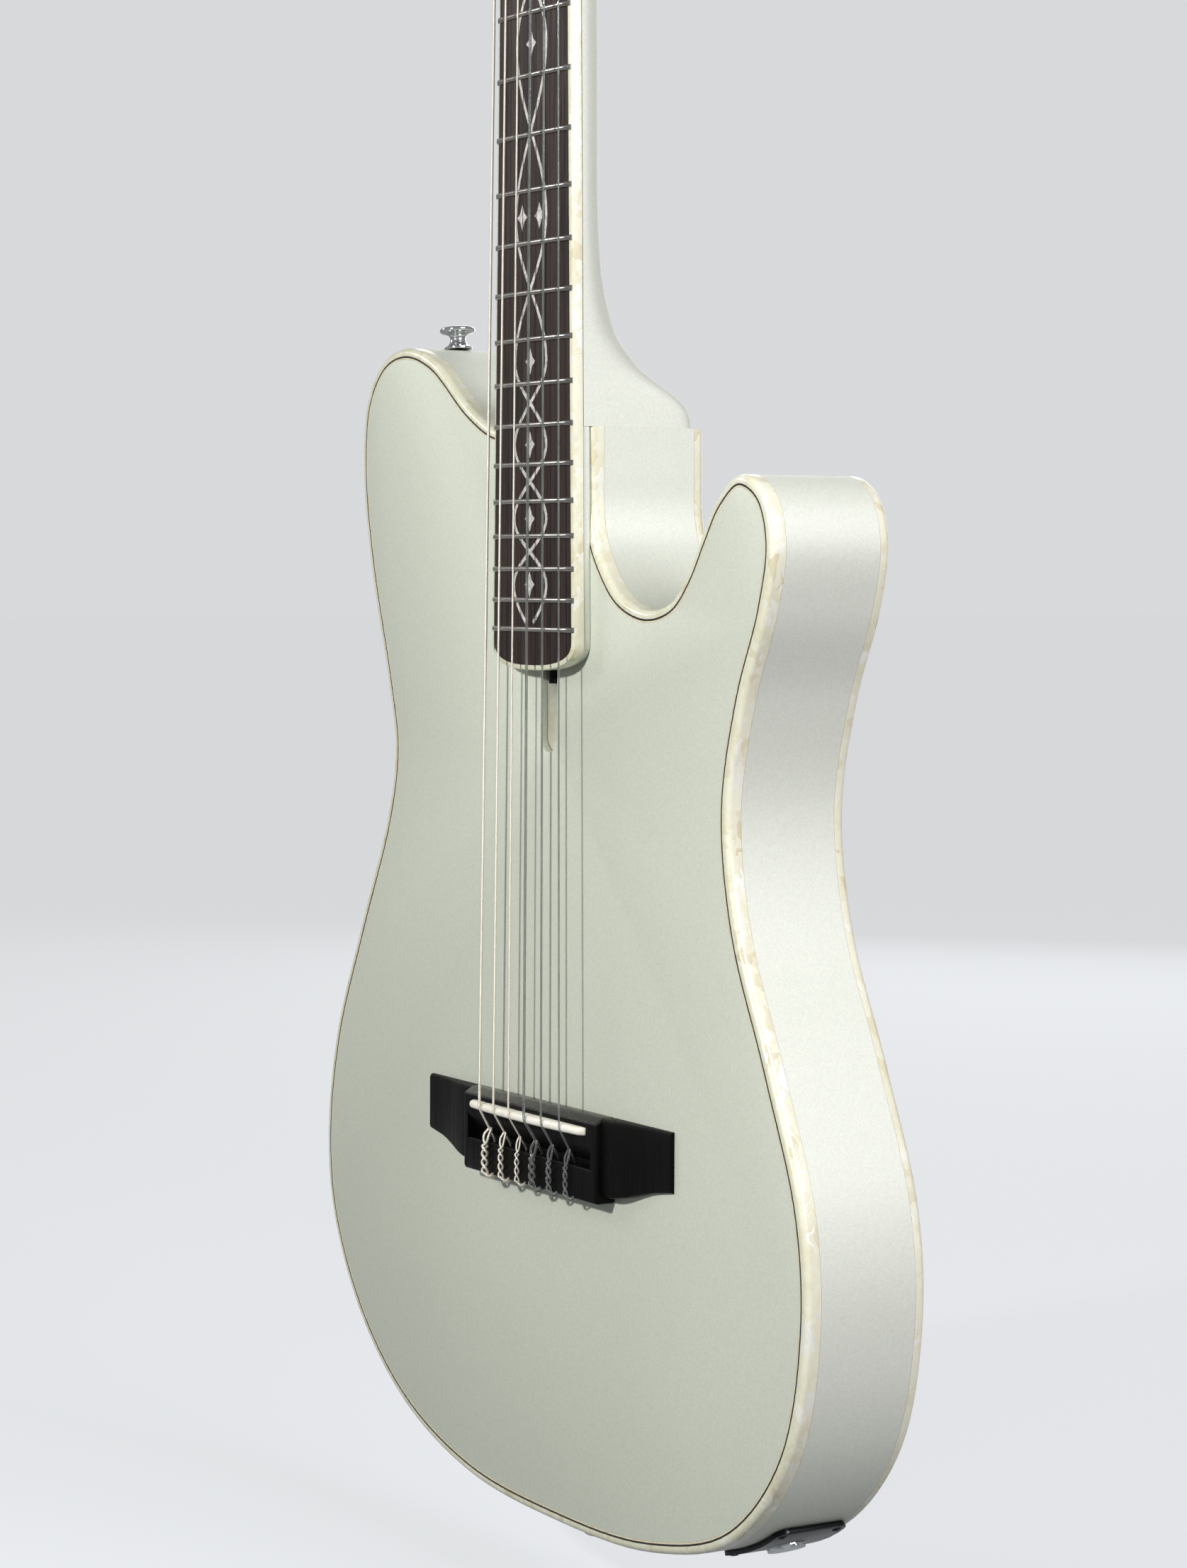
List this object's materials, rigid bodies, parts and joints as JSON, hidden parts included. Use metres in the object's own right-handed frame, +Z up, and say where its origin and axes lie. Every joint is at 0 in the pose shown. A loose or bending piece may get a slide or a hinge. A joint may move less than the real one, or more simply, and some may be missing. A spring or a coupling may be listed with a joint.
{
  "type": "electric nylon-string guitar",
  "caption": "Thin hollow-bodied electric classical guitar with one deep cutaway, slotted head, geared tuners, tie bridge and a pearl-bound body.",
  "frame": {"origin": "neck's centre line, level with the soundboard's plane and with the head's shoulders, where a hanger holds it", "axes": "+Z up the neck, -Y out of the face, +X to the treble side"},
  "size_m": [0.3506, 0.0718, 0.9726],
  "materials": {
    "body_paint": "satin sage finish with a fine sparkle",
    "pearl": "cream pearl celluloid, polished",
    "black_line": "black fibre line",
    "rosewood": "dark open-grained wood, oiled",
    "ebony": "near-black wood, oiled",
    "bone": "polished bone",
    "inner_wood": "bare sanded wood",
    "steel": "plain steel",
    "black_plastic": "black plastic",
    "dark_metal": "blackened metal",
    "chrome": "polished plating",
    "button_pearl": "white pearl plastic",
    "wound": "silver-plated winding",
    "nylon": "clear nylon"
  },
  "bodies": {
    "guitar": {"back_binding": "pearl", "back_lining": "inner_wood", "back_plate": "body_paint", "battery": "steel", "bridge": "ebony", "bridge_pad": "inner_wood", "fingerboard": "rosewood", "fingerboard_binding": "pearl", "head_veneer": "rosewood", "jack_plate": "dark_metal", "lower_back_brace": "inner_wood", "lower_strap_button": "chrome", "neck": "body_paint", "neck_block": "inner_wood", "nut": "bone", "output_jack": "chrome", "piezo_strip": "steel", "preamp": "black_plastic", "rear_cover": "black_plastic", "rim": "body_paint", "saddle": "bone", "soundboard": "body_paint", "string_1": "wound", "string_2": "wound", "string_3": "wound", "string_4": "nylon", "string_5": "nylon", "string_6": "nylon", "tail_block": "inner_wood", "top_binding": "pearl", "top_brace": "inner_wood", "top_lining": "inner_wood", "top_purfling": "black_line", "truss_rod": "steel", "tuner_plate_bass": "chrome", "tuner_plate_treble": "chrome", "upper_back_brace": "inner_wood", "upper_strap_button": "chrome"},
    "roller_1": {"roller_1": "chrome", "string_winding_1": "wound"},
    "key_1": {"tuner_key_1": "button_pearl"},
    "roller_2": {"roller_2": "chrome", "string_winding_2": "wound"},
    "key_2": {"tuner_key_2": "button_pearl"},
    "roller_3": {"roller_3": "chrome", "string_winding_3": "wound"},
    "key_3": {"tuner_key_3": "button_pearl"},
    "roller_4": {"roller_4": "chrome", "string_winding_4": "nylon"},
    "key_4": {"tuner_key_4": "button_pearl"},
    "roller_5": {"roller_5": "chrome", "string_winding_5": "nylon"},
    "key_5": {"tuner_key_5": "button_pearl"},
    "roller_6": {"roller_6": "chrome", "string_winding_6": "nylon"},
    "key_6": {"tuner_key_6": "button_pearl"},
    "volume_knob": {"volume_knob": "black_plastic"},
    "tone_knob": {"tone_knob": "black_plastic"},
    "truss_rod_nut": {"truss_rod_nut": "steel"}
  },
  "joints": [
    {"name": "key_turn_1", "type": "hinge", "parent": "guitar", "child": "key_1", "pos_m": [-0.04065, 0.01257, 0.02692], "axis": [0, 0.9781, -0.2079], "continuous": true},
    {"name": "roller_turn_1", "type": "hinge", "parent": "guitar", "child": "roller_1", "pos_m": [-0.0164, 0.01409, 0.03406], "axis": [1, 0, 0], "continuous": true},
    {"name": "key_turn_2", "type": "hinge", "parent": "guitar", "child": "key_2", "pos_m": [-0.04065, 0.01985, 0.06115], "axis": [0, 0.9781, -0.2079], "continuous": true},
    {"name": "roller_turn_2", "type": "hinge", "parent": "guitar", "child": "roller_2", "pos_m": [-0.0164, 0.02137, 0.06829], "axis": [1, 0, 0], "continuous": true},
    {"name": "key_turn_3", "type": "hinge", "parent": "guitar", "child": "key_3", "pos_m": [-0.04065, 0.02713, 0.09539], "axis": [0, 0.9781, -0.2079], "continuous": true},
    {"name": "roller_turn_3", "type": "hinge", "parent": "guitar", "child": "roller_3", "pos_m": [-0.0164, 0.02865, 0.10253], "axis": [1, 0, 0], "continuous": true},
    {"name": "key_turn_4", "type": "hinge", "parent": "guitar", "child": "key_4", "pos_m": [0.04065, 0.02713, 0.09539], "axis": [0, 0.9781, -0.2079], "continuous": true},
    {"name": "roller_turn_4", "type": "hinge", "parent": "guitar", "child": "roller_4", "pos_m": [0.0164, 0.02865, 0.10253], "axis": [1, 0, 0], "continuous": true},
    {"name": "key_turn_5", "type": "hinge", "parent": "guitar", "child": "key_5", "pos_m": [0.04065, 0.01985, 0.06115], "axis": [0, 0.9781, -0.2079], "continuous": true},
    {"name": "roller_turn_5", "type": "hinge", "parent": "guitar", "child": "roller_5", "pos_m": [0.0164, 0.02137, 0.06829], "axis": [1, 0, 0], "continuous": true},
    {"name": "key_turn_6", "type": "hinge", "parent": "guitar", "child": "key_6", "pos_m": [0.04065, 0.01257, 0.02692], "axis": [0, 0.9781, -0.2079], "continuous": true},
    {"name": "roller_turn_6", "type": "hinge", "parent": "guitar", "child": "roller_6", "pos_m": [0.0164, 0.01409, 0.03406], "axis": [1, 0, 0], "continuous": true},
    {"name": "volume_turn", "type": "hinge", "parent": "guitar", "child": "volume_knob", "pos_m": [-0.14772, 0.024, -0.42092], "axis": [-0.9932, 0, -0.1168], "range_deg": [-150, 150]},
    {"name": "tone_turn", "type": "hinge", "parent": "guitar", "child": "tone_knob", "pos_m": [-0.15029, 0.024, -0.39908], "axis": [-0.9932, 0, -0.1168], "range_deg": [-150, 150]},
    {"name": "rod_nut_turn", "type": "hinge", "parent": "guitar", "child": "truss_rod_nut", "pos_m": [0, 0.0036, -0.47679], "axis": [0, 0, 1], "range_deg": [-180, 180]}
  ],
  "couplings": [
    {"joint": "roller_turn_1", "follows": "key_turn_1", "ratio": -0.071429},
    {"joint": "roller_turn_2", "follows": "key_turn_2", "ratio": -0.071429},
    {"joint": "roller_turn_3", "follows": "key_turn_3", "ratio": -0.071429},
    {"joint": "roller_turn_4", "follows": "key_turn_4", "ratio": -0.071429},
    {"joint": "roller_turn_5", "follows": "key_turn_5", "ratio": -0.071429},
    {"joint": "roller_turn_6", "follows": "key_turn_6", "ratio": -0.071429}
  ]
}
